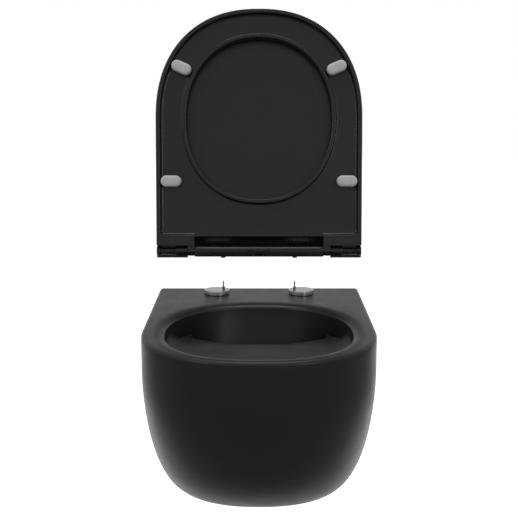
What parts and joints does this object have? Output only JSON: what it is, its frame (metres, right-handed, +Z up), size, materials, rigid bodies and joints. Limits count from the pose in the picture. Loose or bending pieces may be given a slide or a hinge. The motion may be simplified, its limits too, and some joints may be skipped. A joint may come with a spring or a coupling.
{
  "type": "wall-hung toilet",
  "caption": "Wall-hung rimless toilet pan with a D-shaped sandwich seat and cover on a quick-release soft-close hinge bar.",
  "frame": {"origin": "on the wall plane, midway between the two wall studs", "axes": "+Y into the wall, +Z up, +X to the right of a person facing the pan"},
  "size_m": [0.3742, 0.5474, 0.8517],
  "materials": {
    "pan_glaze": "matte black glaze",
    "seat_duroplast": "semi-gloss black thermoset",
    "cover_duroplast": "semi-gloss black thermoset",
    "disc_steel": "turned stainless steel",
    "pin_steel": "turned stainless steel",
    "latch_steel": "punched spring steel",
    "bumper_grey": "soft matte",
    "buffer_grey": "soft matte",
    "seal_rubber": "moulded",
    "nylon_grey": "moulded nylon",
    "washer_steel": "zinc plated",
    "damper_black": "moulded",
    "barrel_grey": "moulded, slightly glossy",
    "acetal_black": "moulded acetal",
    "bar_black": "semi-gloss black"
  },
  "bodies": {
    "pan": {"disc_gasket_left": "seal_rubber", "disc_gasket_right": "seal_rubber", "expansion_sleeve_left": "nylon_grey", "expansion_sleeve_right": "nylon_grey", "flush_nozzle": "nylon_grey", "inlet_seal": "seal_rubber", "pan_ceramic": "pan_glaze", "wall_bush_left": "nylon_grey", "wall_bush_right": "nylon_grey", "wall_washer_left": "washer_steel", "wall_washer_right": "washer_steel"},
    "disc_left": {"eccentric_disc_left": "disc_steel", "disc_stud_left": "pin_steel", "hinge_pin_left": "pin_steel"},
    "latch_left": {"latch_left": "latch_steel"},
    "disc_right": {"eccentric_disc_right": "disc_steel", "disc_stud_right": "pin_steel", "hinge_pin_right": "pin_steel"},
    "latch_right": {"latch_right": "latch_steel"},
    "release_button": {"release_button": "bar_black"},
    "cover": {"cover_buffer_front_left": "buffer_grey", "cover_buffer_front_right": "buffer_grey", "cover_buffer_rear_left": "buffer_grey", "cover_buffer_rear_right": "buffer_grey", "cover_hinge_bush_left": "acetal_black", "cover_hinge_bush_right": "acetal_black", "cover_shell": "cover_duroplast"},
    "seat": {"seat_bumper_front_left": "bumper_grey", "seat_bumper_front_right": "bumper_grey", "seat_bumper_rear_left": "bumper_grey", "seat_bumper_rear_right": "bumper_grey", "seat_hinge_bush_left": "acetal_black", "seat_hinge_bush_right": "acetal_black", "seat_ring": "seat_duroplast"},
    "hinge_bar": {"damper_left": "damper_black", "damper_right": "damper_black", "hinge_bar_base": "bar_black", "hinge_bar_housing": "bar_black", "hinge_spindle_left": "pin_steel", "hinge_spindle_right": "pin_steel", "socket_bush_left": "acetal_black", "socket_bush_right": "acetal_black", "spindle_barrel_left": "barrel_grey", "spindle_barrel_right": "barrel_grey"}
  },
  "joints": [
    {"name": "bar_lift", "type": "slide", "parent": "pan", "child": "hinge_bar", "axis": [0, 0, 1], "range_m": [-0.062, 0]},
    {"name": "cover_hinge", "type": "hinge", "parent": "hinge_bar", "child": "cover", "pos_m": [0, -0.0625, 0.16475], "axis": [-1, 0, 0], "range_deg": [-100.4, 0]},
    {"name": "seat_hinge", "type": "hinge", "parent": "cover", "child": "seat", "pos_m": [0, -0.0625, 0.16475], "axis": [1, 0, 0], "range_deg": [0, 100.4]},
    {"name": "button_push", "type": "slide", "parent": "hinge_bar", "child": "release_button", "axis": [0, 1, 0], "range_m": [0, 0.003], "stiffness_N_per_m": 600, "springref_m": -0.002},
    {"name": "disc_turn_left", "type": "hinge", "parent": "pan", "child": "disc_left", "pos_m": [-0.0775, -0.048, 0.0903], "axis": [0, 0, -1], "range_deg": [0, 20]},
    {"name": "latch_slide_left", "type": "slide", "parent": "hinge_bar", "child": "latch_left", "axis": [-1, 0, 0], "range_m": [0, 0.003]},
    {"name": "disc_turn_right", "type": "hinge", "parent": "pan", "child": "disc_right", "pos_m": [0.0775, -0.048, 0.0903], "axis": [0, 0, 1], "range_deg": [0, 20]},
    {"name": "latch_slide_right", "type": "slide", "parent": "hinge_bar", "child": "latch_right", "axis": [1, 0, 0], "range_m": [0, 0.003]}
  ],
  "couplings": [
    {"joint": "latch_slide_left", "follows": "button_push", "ratio": 1},
    {"joint": "latch_slide_right", "follows": "button_push", "ratio": 1}
  ]
}
